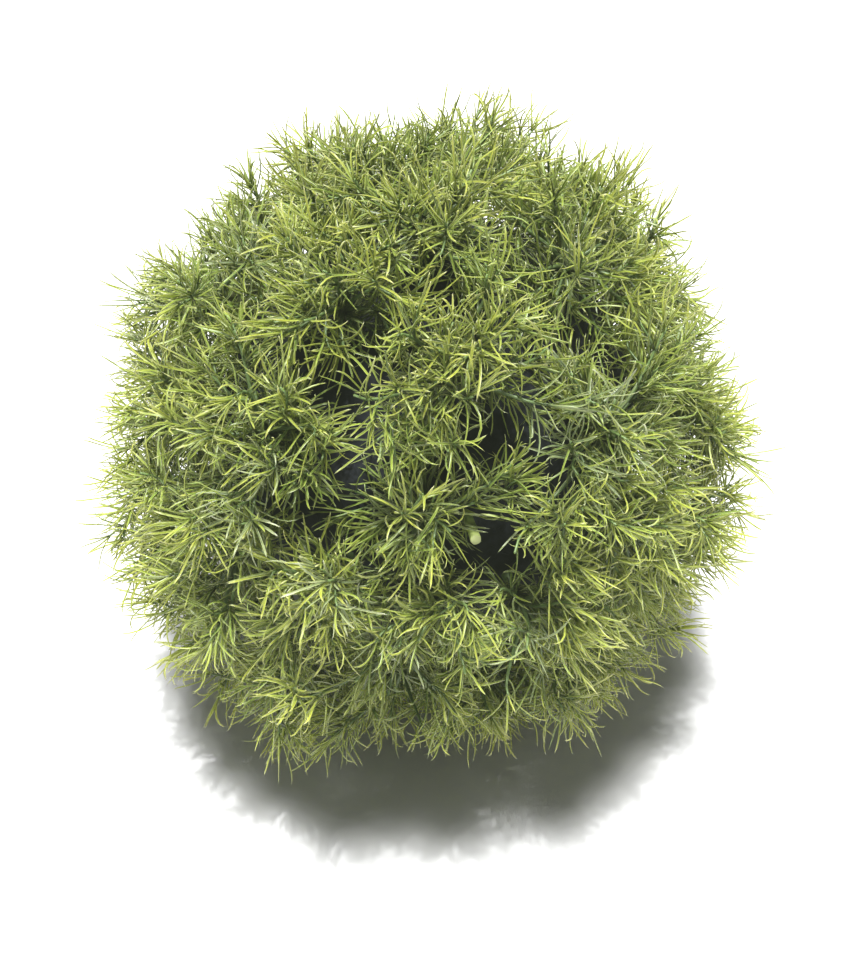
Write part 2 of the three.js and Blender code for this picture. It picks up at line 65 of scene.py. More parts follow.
# ---- one row for each sprig: name, stem direction, and its tufts as azimuth,
# elevation, distance of the tips from the ball's middle in mm, 1 if blue-green ----
SPRIGS = [
    ("crown_sprig", (-96.9, 82.6), [(-90, 85.7, 106.2, 0), (-18.2, 82.9, 112.9, 0), (-118.3, 79.5, 111.7, 0), (-81.1, 74.1, 113.6, 0), (-55.2, 72.6, 99, 0), (6.1, 76, 110.5, 0), (-161.7, 77.5, 113.4, 0)]),
    ("top_sprig_1", (-129.3, 61.5), [(-127.3, 62.4, 112, 0), (-110.4, 64, 111.4, 0), (-134.5, 71, 109.9, 0), (-108.4, 70.5, 107.5, 0), (-124.9, 54.3, 112.8, 0), (-153.6, 63, 112.2, 0), (-134.7, 51.6, 107.1, 0), (-90.9, 65.1, 96.6, 0)]),
    ("top_sprig_2", (126.9, 70.9), [(135.7, 74.9, 110.1, 0), (131.1, 63.8, 106.7, 0), (90, 73.1, 107.9, 0), (103.9, 63.6, 106.6, 0), (173.2, 67.5, 108.8, 0)]),
    ("top_sprig_3", (80.3, 53.3), [(85.5, 58.4, 109.8, 0), (76.5, 48.3, 117.2, 0), (94.4, 49.5, 107.4, 0), (67, 60.4, 114.5, 0)]),
    ("top_sprig_4", (-10.0, 59.6), [(-10.7, 48.4, 107.8, 0), (1.9, 52.9, 110.1, 0), (-26.6, 54.1, 95, 0), (11.7, 58.3, 112.1, 0), (2.1, 67.8, 107.6, 0), (-13.7, 41.1, 105.4, 0), (-40, 58, 110.2, 0)]),
    ("top_sprig_5", (-83.3, 52.3), [(-77, 52.7, 113.2, 0), (-80.4, 46.2, 111.1, 0), (-87.3, 54, 107.8, 0), (-91.1, 46.6, 109.4, 0), (-98.2, 55.1, 111.4, 0), (-66, 57.2, 113.4, 0), (-86.1, 38, 107.9, 0), (-59.8, 50.9, 111.2, 0), (-62.9, 42.3, 108.8, 1), (-105.8, 45.6, 113, 0), (-100.1, 39.5, 110.6, 0), (-65.2, 64.4, 113.9, 0)]),
    ("upper_sprig_1", (-131.8, 32.5), [(-131.6, 39.2, 111.4, 0), (-128.9, 28.1, 106.2, 0), (-136.7, 29.1, 108.5, 0), (-120.6, 30.4, 109.3, 1), (-122.3, 43.5, 113, 0), (-146.3, 38, 111.2, 0), (-113.7, 38.2, 108.6, 0), (-146.9, 27.5, 109.9, 0), (-145, 46.7, 110.4, 0), (-123.2, 20.3, 111.5, 1)]),
    ("upper_sprig_2", (179.4, 37.6), [(-176.5, 39.6, 112, 0), (169.5, 32.9, 111.1, 1), (163.8, 46.3, 104.5, 0), (162.2, 38.2, 103.9, 0), (174.8, 28.1, 115.7, 1), (-161.3, 41.7, 110.9, 0), (-167.6, 56.6, 110.2, 1)]),
    ("upper_sprig_3", (145.7, 35.2), [(138.2, 37, 108.4, 0), (149.4, 33.4, 104.4, 0), (139.5, 24.6, 104.5, 0), (149.3, 47.4, 108, 0)]),
    ("upper_sprig_4", (122.5, 45.6), [(114, 44.2, 106.6, 1), (132, 45.6, 113.8, 0), (112.7, 53.9, 105.9, 1), (132.9, 55.2, 110.4, 0), (121.5, 36.6, 111.6, 0)]),
    ("upper_sprig_5", (115.3, 23.0), [(124, 20.3, 111, 0), (111, 29.5, 106.7, 0), (110.7, 18.7, 110.2, 0), (128.1, 28.8, 111.4, 0)]),
    ("upper_sprig_6", (88.0, 29.2), [(90, 30.1, 107.9, 0), (85, 40.3, 111.5, 0), (86.7, 19.7, 108.5, 0), (74.6, 35, 117, 0), (76.5, 24.2, 113, 1), (100.3, 24.6, 115.5, 0), (100.6, 39.5, 106.3, 0)]),
    ("upper_sprig_7", (46.5, 43.6), [(50.5, 43.3, 107.1, 0), (37.6, 51.2, 106.8, 0), (43.8, 33.5, 111, 0), (47.4, 55, 109.5, 0), (63.5, 48.9, 114.8, 0), (62.1, 37.5, 110.6, 0), (27.1, 45.9, 113.6, 0), (54.3, 28.7, 107.5, 0)]),
    ("upper_sprig_8", (22.7, 25.4), [(24.2, 30.2, 107.2, 0), (13.8, 22.1, 105.2, 0), (23.2, 17.9, 105.9, 0), (19.7, 40.5, 112.7, 0), (8.8, 30.3, 105.9, 0), (33.6, 22.3, 108.1, 0), (33.8, 36.5, 111, 0)]),
    ("upper_sprig_9", (-45.5, 31.9), [(-49.3, 31.9, 110.5, 1), (-54.4, 40, 109.9, 1), (-41.5, 45.4, 95.8, 0), (-36.6, 25.5, 106.7, 0), (-50.8, 25.2, 108.8, 0), (-27.6, 34.6, 108.2, 0), (-61.1, 30.1, 108.9, 1), (-26, 42.4, 113.2, 0), (-66.9, 24.4, 113.1, 0), (-75.4, 20.7, 108.7, 0)]),
    ("upper_sprig_10", (-91.2, 24.5), [(-86.1, 25.1, 107.2, 0), (-92.9, 19.5, 109.9, 0), (-94.5, 28.8, 111.5, 0)]),
    ("middle_sprig_1", (-86.4, 5.0), [(-91.6, 5.9, 109, 0), (-98.6, 3.3, 110.9, 1), (-83.4, 10.5, 108.8, 0), (-99.1, 12.2, 98.2, 0), (-84.1, -1.5, 113.4, 0)]),
    ("middle_sprig_2", (-109.4, 6.0), [(-110.4, 9.3, 114, 0), (-117.1, 12, 111.4, 0), (-105.2, 3, 111.7, 0), (-106.1, 16.7, 114.4, 1), (-116.7, -1.6, 111.4, 0)]),
    ("middle_sprig_3", (-133.8, 2.6), [(-138.2, 1, 118.3, 0), (-125.6, 9.9, 106.2, 0), (-133.6, 16, 114.7, 0), (-129.6, -9.1, 119.8, 0)]),
    ("middle_sprig_4", (-152.4, 2.3), [(-150.9, -0.9, 114.5, 0), (-159.5, -0.4, 114.5, 0), (-149.9, -9.1, 122.5, 0), (-147.5, 16.5, 114.4, 0)]),
    ("middle_sprig_5", (-165.6, 16.8), [(-167.3, 15, 110.5, 0), (-175.3, 16.4, 105.6, 0), (180, 21.9, 111, 1), (-166.2, 6.4, 114.5, 0), (-163, 29, 107.8, 0)]),
    ("middle_sprig_6", (172.4, 7.2), [(175, 12.6, 106.3, 0), (169.8, 4, 103.8, 0), (164.9, 14.7, 115.7, 0), (-177.8, 2.6, 111.3, 0)]),
    ("middle_sprig_7", (152.0, 11.2), [(151.8, 10.9, 114.4, 0), (150.5, 21.5, 106.3, 0), (161, 23.2, 113, 0), (153.6, 1.1, 114.6, 0)]),
    ("middle_sprig_8", (133.3, -4.1), [(131.5, -3.6, 105.6, 0), (138.8, 3.3, 108.5, 1), (139.2, -11.6, 111, 0), (121.9, -4, 109.5, 0), (125.9, 8.3, 108.7, 0), (146.4, -4.5, 105.7, 0), (128.2, -14.6, 105.2, 0), (137.5, 13.1, 103.8, 0)]),
    ("middle_sprig_9", (106.1, 6.5), [(99.3, -0.3, 114.2, 0), (103.6, 10.3, 115, 0), (109.9, 1, 106.9, 0), (94.3, 12, 104.5, 0), (115.6, 9.4, 109.2, 0), (94.1, -10.3, 111.1, 0)]),
    ("middle_sprig_10", (76.3, 3.5), [(73.8, 6.1, 108.4, 0), (83.1, 8.9, 111.9, 0), (70.3, -4.7, 110.7, 0), (81.1, -5.7, 113.3, 0), (70.4, 15.3, 109.2, 1), (62.2, 3.5, 112.8, 0), (88.9, 0.6, 108.8, 0)]),
    ("middle_sprig_11", (51.2, 12.4), [(47.6, 10.4, 112.7, 0), (58.4, 14.3, 109.7, 0), (45.4, 22.3, 111, 0), (36.8, 12.6, 106.4, 0), (52.8, 0.4, 115.1, 0), (39.5, 0.5, 111.8, 0), (64.7, 25.8, 109.3, 0)]),
    ("middle_sprig_12", (14.0, -5.8), [(22.7, -1.3, 101.8, 0), (12.6, -6.7, 109.1, 0), (12.8, 4.4, 102.3, 0), (27.6, -8.6, 111.2, 0), (19.5, -14.7, 108.3, 0), (21.8, 9.3, 103.8, 0), (31.1, 5.1, 105.3, 0), (2.4, -10.6, 115.4, 0)]),
    ("middle_sprig_13", (-8.3, 14.2), [(-3.7, 17, 102.9, 0), (-9.8, 11.1, 110.7, 0), (-20, 16.1, 112.5, 0), (-15.2, 5.5, 115.4, 0), (-1.9, 26.7, 102.8, 0), (7.6, 14.7, 101.8, 0), (-19.6, 25.1, 107.2, 0), (2.7, 3.2, 108.5, 0), (-4.7, -3, 115, 0), (-14.2, 34.1, 106.7, 0)]),
    ("middle_sprig_14", (-48.3, 12.7), [(-46.6, 15, 113.6, 0), (-55.5, 11.6, 108.4, 0), (-38.3, 17.2, 109.5, 0), (-56.8, 20.3, 111.5, 0), (-42.1, 2.6, 113.4, 0)]),
    ("middle_sprig_15", (-70.1, -1.2), [(-65.8, 7.9, 111.5, 0), (-73.9, 1.4, 111.7, 1), (-63.9, -4.9, 113, 0), (-56.7, 0.4, 112.5, 0), (-63.7, 14.5, 110.2, 0), (-76.7, -9.1, 114.5, 0)]),
    ("lower_sprig_1", (-96.4, -12.9), [(-102.3, -7.8, 112.3, 0), (-92.6, -7.5, 98.2, 0), (-112.1, -11, 119.5, 0), (-84.3, -19.5, 114.2, 0)]),
    ("lower_sprig_2", (-96.9, -33.5), [(-101.1, -31.4, 108.9, 0), (-99.1, -41.2, 110.1, 0), (-110.3, -31.7, 123.7, 0), (-91, -27.8, 112.2, 0)]),
    ("lower_sprig_3", (-127.8, -29.5), [(-128.5, -25.4, 114.5, 0), (-125.1, -40, 128.8, 0), (-118.1, -29, 128.1, 0), (-137.1, -33.4, 127.2, 0)]),
    ("lower_sprig_4", (-151.4, -25.8), [(-150.3, -27.3, 120.2, 0), (-155.3, -18.8, 121.5, 0), (-144.4, -14.1, 121.4, 0), (-138.1, -18.5, 120.9, 0), (-163.2, -27.7, 121.5, 0), (-149.6, -37.2, 123.1, 0)]),
    ("lower_sprig_5", (-174.3, -14.3), [(-168.1, -17.8, 125.3, 0), (-172.7, -7.1, 117.4, 0), (-162.2, -10, 125, 0), (177.7, -17.7, 118.6, 0)]),
    ("lower_sprig_6", (174.5, -27.4), [(174.8, -31.8, 109.9, 0), (164.5, -23.7, 106.3, 0), (162.7, -33.8, 106.9, 0), (-175.6, -26.1, 124.9, 0)]),
    ("lower_sprig_7", (164.4, -11.4), [(164.2, -11.9, 110, 0), (161.7, -0.7, 105.6, 0), (175.3, -6.8, 112.9, 0), (153.3, -15, 116.2, 0)]),
    ("lower_sprig_8", (133.1, -32.0), [(131.2, -31.8, 108.3, 1), (138, -39.2, 110, 1), (125.2, -24.1, 112.9, 0), (125.2, -43.9, 115.8, 1), (139, -21.2, 112.2, 0), (147.6, -26.7, 112.8, 0), (112.6, -39.7, 115.3, 0)]),
    ("lower_sprig_9", (108.0, -21.2), [(114.5, -19, 106.9, 0), (99.8, -24.2, 109.5, 0), (113.9, -29.8, 104.9, 0), (104, -11.3, 111.1, 0), (113.9, -9.4, 110.3, 0), (97.1, -34.1, 107.5, 0)]),
    ("lower_sprig_10", (69.4, -23.5), [(68.6, -29.1, 110.9, 0), (79.3, -24.5, 110.3, 0), (74.9, -15.3, 109.8, 0), (60.6, -21.3, 109.9, 0), (85.5, -33.2, 109.5, 0), (57.8, -33.9, 113.3, 0), (89.1, -18.6, 112.3, 0), (60.6, -10.8, 115.5, 0)]),
    ("lower_sprig_11", (39.9, -23.6), [(37.1, -19.7, 111.3, 1), (44.8, -27.7, 114.2, 0), (48.9, -18.1, 109.5, 0), (27.2, -22.7, 113.4, 1), (32.1, -32, 108.9, 0), (36.4, -10.1, 114.6, 0), (47, -7.6, 110, 0), (42.7, -38.4, 112.5, 0)]),
    ("lower_sprig_12", (2.8, -28.7), [(-0.3, -27.4, 119.5, 0), (12.1, -35.7, 113.1, 0), (8.3, -19.6, 116.7, 0), (-9.9, -33.4, 114, 0), (16.4, -26.4, 112.5, 0), (-0.3, -42.3, 113.1, 0), (-5.1, -18, 119.9, 0)]),
    ("lower_sprig_13", (-26.6, -12.8), [(-25.1, -18.9, 114.3, 0), (-27.6, -7.7, 117.1, 0), (-33.5, -12.8, 113.8, 0), (-14.9, -19.2, 117.7, 0), (-13.3, -9.2, 119.6, 0), (-40.5, -14.3, 99.8, 0), (-35.5, -24.1, 116.1, 0), (-19.2, -0.2, 114.5, 0), (-22.3, -29, 114.4, 0), (-30.6, 3.1, 114.5, 0)]),
    ("lower_sprig_14", (-51.9, -28.9), [(-60, -27.4, 120, 0), (-48.3, -23.7, 116.4, 0), (-64.4, -21.4, 119.3, 0), (-47, -35.2, 118.6, 0)]),
    ("under_sprig_1", (-120.4, -50.0), [(-131.8, -47.8, 129.3, 0), (-119.7, -54.5, 123.4, 0), (-109.9, -46.5, 113.2, 0), (-146.3, -46.6, 128.2, 0)]),
    ("under_sprig_2", (-130.5, -68.3), [(-126.6, -65.9, 107.2, 0), (-150.3, -74.9, 112, 0), (-144.1, -57.5, 129.6, 0), (-97.1, -70.1, 110.6, 0), (-161.1, -62.6, 108.3, 0), (-102.4, -60.4, 110.4, 0)]),
    ("under_sprig_3", (-171.9, -46.9), [(-162.8, -48, 110, 0), (-175.6, -40, 108.2, 0), (-163.7, -37.1, 120.8, 0), (-177.3, -52.2, 111.7, 0)]),
    ("under_sprig_4", (160.6, -67.4), [(148.8, -59.7, 108, 0), (171.5, -71.6, 103.8, 0), (138.5, -69.3, 114.6, 0), (168.9, -59.3, 107.3, 0)]),
    ("under_sprig_5", (155.4, -43.1), [(159.3, -49.6, 109.3, 0), (144.9, -47.6, 111.3, 0), (151.9, -36.9, 107.9, 0), (169.2, -43.5, 110.7, 0)]),
    ("under_sprig_6", (119.0, -59.9), [(115.3, -53.2, 107.6, 0), (93.9, -60.7, 110.7, 0), (110, -67.3, 105.8, 0), (129.9, -58.3, 112.6, 0), (100.4, -46.3, 108.5, 0)]),
    ("under_sprig_7", (74.2, -54.8), [(67.4, -46.7, 113.4, 0), (57.6, -54.8, 110.2, 0), (76.8, -57.2, 112.5, 0), (86.9, -47.7, 109.2, 0), (74.7, -38.9, 108.1, 0), (48.5, -45.9, 110.8, 0), (60.9, -66.3, 108, 0)]),
    ("under_sprig_8", (26.8, -49.9), [(30.9, -51.8, 107.4, 0), (16.2, -48.9, 110.8, 0), (21.9, -63.5, 111.4, 0), (4.3, -55.4, 105.7, 0), (41.7, -59.8, 114.3, 0), (26.2, -39.8, 108.4, 0)]),
    ("under_sprig_9", (-31.9, -46.2), [(-29, -48, 116.9, 0), (-40.4, -54.4, 120, 0), (-19.8, -40.7, 116.6, 0), (-35, -34.1, 117.6, 0), (-49.3, -44.4, 120.2, 0), (-13.7, -53.6, 111.3, 0)]),
    ("under_sprig_10", (-35.6, -71.3), [(-29.2, -78.8, 104.9, 0), (-35.8, -64, 112.7, 0), (-14, -65.8, 110.3, 0), (-66.2, -75, 108.3, 0), (-60.4, -65.7, 114.1, 0), (6.6, -72.9, 111.2, 0)]),
    ("under_sprig_11", (-73.2, -45.2), [(-70.9, -46.9, 114.4, 0), (-84.6, -40.8, 112.8, 0), (-64.9, -38.1, 116, 0), (-80.1, -58, 112.9, 0), (-92.8, -51.2, 112, 0), (-59.7, -54.8, 116.9, 0), (-75.6, -32.6, 114.1, 0)]),
    ("foot_sprig", (0.0, -90.0), [(0, -90, 109, 0), (-113.3, -80.4, 116.3, 0), (138.5, -80.4, 108.1, 0), (43.7, -76.2, 116, 0), (85.1, -75.1, 110.2, 0)]),
]


# clefts between sprigs on the side towards the viewer: azimuth, elevation, radius in mm,
# and how bare they are, from 0 to 1. They open towards the viewer, the others straight out
CLEFTS = [
    (-112.4, 59.1, 6.5, 1), (-137.8, 41.6, 7.4, 0.7), (-110.5, 47.8, 6.5, 0.7), (-87.1, 66.9, 4.7, 0.8),
    (-48.5, 74.7, 4, 0.5), (-40.2, 63, 4, 0.6), (-30.1, 54.8, 6.6, 1), (-42.1, 51.7, 6.5, 1),
    (-39.1, 44.2, 6.3, 0.9), (-71, 43.9, 6.4, 1), (-121.5, 36.1, 5.5, 0.8), (-106.3, 33, 6.7, 1),
    (-103.5, 26.8, 6.8, 1), (-112, 23.2, 4.4, 0.7), (-91.8, 25, 5.4, 0.8), (-90.4, 33.6, 3.5, 0.6),
    (-75.4, 30.8, 4.3, 1), (-77.8, 22.7, 4.9, 1), (-78.1, 16.3, 8.3, 1), (-72.9, 11.7, 5.7, 0.9),
    (-84.9, 19.4, 5.5, 0.9), (-126.8, 0.2, 6.3, 0.5), (-142.9, 17.7, 3.6, 0.5), (-68.8, 2.6, 4.1, 0.6),
    (-40.1, 34.9, 4, 0.6), (-91.4, -9.3, 5.4, 0.6), (-104.1, -6.1, 3.6, 0.4), (-94.1, -32.8, 8, 0.9),
    (-70.2, -30.3, 8, 0.9), (-111.8, -29.8, 6, 0.7), (-32.9, 17.7, 4, 0.4), (-45.2, -9.8, 5.8, 0.4),
    (-98.1, 13.9, 3.6, 0.6), (-158, 51.1, 4.1, 0.4),
]
VIEW_DIST, VIEW_EL = 0.420, 42.3


def unit(v):
    v = np.asarray(v, float)
    return v / np.maximum(np.linalg.norm(v, axis=-1, keepdims=True), 1e-12)


def direction(az, el):
    a, e = math.radians(az), math.radians(el)
    return np.array([math.cos(e) * math.cos(a), math.cos(e) * math.sin(a), math.sin(e)])


def square_to(a):
    """A unit vector square to each a."""
    a = np.atleast_2d(a)
    other = np.where(np.abs(a[:, 2:3]) < 0.9, np.array([[0.0, 0.0, 1.0]]), np.array([[1.0, 0.0, 0.0]]))
    return unit(np.cross(a, other))


class Parts:
    """Collects closed bodies as vertex, face and map arrays, for one mesh."""

    def __init__(self):
        self.v, self.uv, self.kind, self.quads, self.tris = [], [], [], [], []
        self.count = 0

    def add(self, v, uv, kind, quads, tris):
        self.v.append(v)
        self.uv.append(uv)
        self.kind.append(kind)
        self.quads.append(quads + self.count)
        self.tris.append(tris + self.count)
        self.count += len(v)


def leaves(parts, foot, axis, out, start, end, length, width, thick, curl, roll, band, hook=None, rings=RINGS):
    """Narrow pointed leaves, one for each row: each starts at foot, start radians off
    axis towards out, and bends to end radians off it at its tip."""
    n = len(foot)
    if n == 0:
        return
    steps = 24
    s_fine = np.linspace(0, 1, steps + 1)
    hook = np.zeros(n) if hook is None else hook
    theta = start[:, None] + (end - start)[:, None] * s_fine[None] ** 1.15 \
        + hook[:, None] * np.clip((s_fine[None] - 0.50) / 0.50, 0, 1) ** 2
    c = curl[:, None] * s_fine[None]
    side0 = np.cross(axis, out)
    e = np.cos(c)[..., None] * out[:, None] + np.sin(c)[..., None] * side0[:, None]
    tan = np.cos(theta)[..., None] * axis[:, None] + np.sin(theta)[..., None] * e
    seg = 0.5 * (tan[:, 1:] + tan[:, :-1]) * (length[:, None, None] / steps)
    line = np.concatenate([foot[:, None], foot[:, None] + np.cumsum(seg, 1)], 1)
    b = unit(np.cross(axis[:, None], e))
    pick = np.round(np.array(RING_AT) * steps).astype(int)
    s = s_fine[pick]
    P, T, B = line[:, pick], tan[:, pick], b[:, pick]
    N = np.cross(T, B)
    r = roll[:, None] * (0.4 + s[None])
    Bq = np.cos(r)[..., None] * B + np.sin(r)[..., None] * N
    Nq = -np.sin(r)[..., None] * B + np.cos(r)[..., None] * N
    w = (0.82 + 0.18 * np.sin(np.clip(s / 0.3, 0, 1) * math.pi / 2)) * (1 - 0.70 * np.clip((s - 0.70) / 0.30, 0, 1) ** 2.0)
    w = w[None] * width[:, None] * 0.5
    t = 1 - 0.8 * s ** 3
    t = t[None] * thick[:, None]
    # a shallow channel above, a keel below
    ring = np.stack([
        P + Bq * w[..., None] + Nq * (t * 0.45)[..., None],
        P + Nq * (t * 0.05)[..., None],
        P - Bq * w[..., None] + Nq * (t * 0.45)[..., None],
        P - Nq * (t * 0.55)[..., None],
    ], 2)
    k = len(pick)
    tip = line[:, -1]
    v = np.concatenate([ring.reshape(n, k * 4, 3), tip[:, None]], 1)
    per = k * 4 + 1
    cross = np.array([0.0, 0.5, 1.0, 0.5])
    u = (band[:, None, None] + 0.1 + 0.8 * cross[None, None]) / BANDS + np.zeros((n, k, 4))
    vv = np.broadcast_to(s[None, :, None], (n, k, 4))
    uv = np.stack([u, 0.01 + 0.98 * vv], -1).reshape(n, k * 4, 2)
    tipuv = np.stack([(band + 0.5) / BANDS, np.full(n, 0.99)], -1)
    uv = np.concatenate([uv, tipuv[:, None]], 1)
    kind = np.tile(np.concatenate([np.tile(np.arange(4), k), [4]]), n)
    q = []
    for a in range(k - 1):
        for j in range(4):
            j2 = (j + 1) % 4
            q.append([a * 4 + j, a * 4 + j2, a * 4 + 4 + j2, a * 4 + 4 + j])
    q.append([3, 2, 1, 0])
    last = (k - 1) * 4
    tr = [[last + j, last + (j + 1) % 4, k * 4] for j in range(4)]
    base = (np.arange(n) * per)[:, None, None]
    parts.add(v.reshape(-1, 3), uv.reshape(-1, 2), kind,
              (np.array(q)[None] + base).reshape(-1, 4), (np.array(tr)[None] + base).reshape(-1, 3))


RING_AT = [0, 0.21, 0.42, 0.63, 0.80, 0.93]


def bend(p0, d0, p1, d1, steps):
    """Points and directions along smooth curves from p0 to p1, one curve a row."""
    reach = np.linalg.norm(p1 - p0, axis=-1, keepdims=True)
    a, c = p0 + d0 * reach * 0.42, p1 - d1 * reach * 0.38
    s = np.linspace(0, 1, steps)[None, :, None]
    P = (1 - s) ** 3 * p0[:, None] + 3 * (1 - s) ** 2 * s * a[:, None] \
        + 3 * (1 - s) * s ** 2 * c[:, None] + s ** 3 * p1[:, None]
    D = 3 * (1 - s) ** 2 * (a - p0)[:, None] + 6 * (1 - s) * s * (c - a)[:, None] + 3 * s ** 2 * (p1 - c)[:, None]
    return P, unit(D)


def stalks(parts, P, D, radius, sides=7, band=STEM[0], ribs=0.0):
    """Round stalks along curves: P and D are rows of points and directions, radius a row of radii."""
    n, k = P.shape[:2]
    x = np.zeros_like(P)
    x[:, 0] = square_to(D[:, 0])
    for i in range(1, k):
        x[:, i] = unit(x[:, i - 1] - D[:, i] * np.sum(x[:, i - 1] * D[:, i], -1, keepdims=True))
    y = np.cross(D, x)
    a = np.arange(sides) * 2 * math.pi / sides
    r = radius[..., None] * (1 + ribs * np.cos(a * 5)[None, None])
    ring = P[:, :, None] + r[..., None] * (np.cos(a)[None, None, :, None] * x[:, :, None]
                                           + np.sin(a)[None, None, :, None] * y[:, :, None])
    per = k * sides
    u = (band + 0.1 + 0.8 * (1 - np.cos(a)) / 2) / BANDS
    vv = np.linspace(0.02, 0.98, k)
    uv = np.stack(np.broadcast_arrays(u[None, None], vv[None, :, None] + np.zeros((n, 1, 1))), -1)
    q = []
    for i in range(k - 1):
        for j in range(sides):
            j2 = (j + 1) % sides
            q.append([i * sides + j, i * sides + j2, (i + 1) * sides + j2, (i + 1) * sides + j])
    base = (np.arange(n) * per)[:, None, None]
    # ends, as fans round their first corner
    tr = []
    for j in range(1, sides - 1):
        tr.append([0, j + 1, j])
        o = (k - 1) * sides
        tr.append([o, o + j, o + j + 1])
    parts.add(ring.reshape(-1, 3), uv.reshape(-1, 2), np.full(n * per, 9),
              (np.array(q)[None] + base).reshape(-1, 4), (np.array(tr)[None] + base).reshape(-1, 3))


def mesh_object(name, parts, material):
    v = np.concatenate(parts.v).astype(np.float32)
    uv = np.concatenate(parts.uv).astype(np.float32)
    kind = np.concatenate(parts.kind)
    quads = np.concatenate(parts.quads).astype(np.int32)
    tris = np.concatenate(parts.tris).astype(np.int32)
    loops = np.concatenate([quads.ravel(), tris.ravel()])
    starts = np.concatenate([np.arange(len(quads)) * 4, len(quads) * 4 + np.arange(len(tris)) * 3])
    me = bpy.data.meshes.new(name)
    me.vertices.add(len(v))
    me.vertices.foreach_set("co", v.ravel())
    me.loops.add(len(loops))
    me.loops.foreach_set("vertex_index", loops.astype(np.int32))
    me.polygons.add(len(starts))
    me.polygons.foreach_set("loop_start", starts.astype(np.int32))
    me.update(calc_edges=True)
    layer = me.uv_layers.new(name="OFBake")
    layer.data.foreach_set("uv", uv[loops].ravel())
    edges = np.empty(len(me.edges) * 2, np.int32)
    me.edges.foreach_get("vertices", edges)
    edges = edges.reshape(-1, 2)
    k0, k1 = kind[edges[:, 0]], kind[edges[:, 1]]
    sharp = (k0 == k1) & ((k0 == 0) | (k0 == 2))
    attr = me.attributes.new("sharp_edge", "BOOLEAN", "EDGE")
    attr.data.foreach_set("value", sharp)
    me.validate()
    me.materials.append(material)
    ob = bpy.data.objects.new(name, me)
    bpy.context.scene.collection.objects.link(ob)
    return ob


# ---- materials ----
def new_material(name):
    m = bpy.data.materials.new(name)
    m.use_nodes = True
    nt = m.node_tree
    bsdf = nt.nodes["Principled BSDF"]
    return m, nt, bsdf


def maths(nt, op, a, b=None, clamp=False):
    n = nt.nodes.new("ShaderNodeMath")
    n.operation = op
    n.use_clamp = clamp
    for i, x in enumerate((a, b)):
        if x is None:
            continue
        if isinstance(x, (int, float)):
            n.inputs[i].default_value = x
        else:
            nt.links.new(x, n.inputs[i])
    return n.outputs[0]


def ramp(nt, fac, stops):
    n = nt.nodes.new("ShaderNodeValToRGB")
    cr = n.color_ramp
    cr.interpolation = "EASE"
    while len(cr.elements) < len(stops):
        cr.elements.new(0.5)
    for e, (at, col) in zip(cr.elements, stops):
        e.position = at
        e.color = (*col, 1)
    nt.links.new(fac, n.inputs[0])
    return n.outputs[0]


def mixed(nt, fac, a, b, mode="MIX"):
    n = nt.nodes.new("ShaderNodeMix")
    n.data_type = "RGBA"
    n.blend_type = mode
    n.clamp_factor = True
    for sock, x in ((n.inputs[0], fac), (n.inputs[6], a), (n.inputs[7], b)):
        if isinstance(x, (int, float)):
            sock.default_value = x
        elif isinstance(x, tuple):
            sock.default_value = (*x, 1)
        else:
            nt.links.new(x, sock)
    return n.outputs[2]


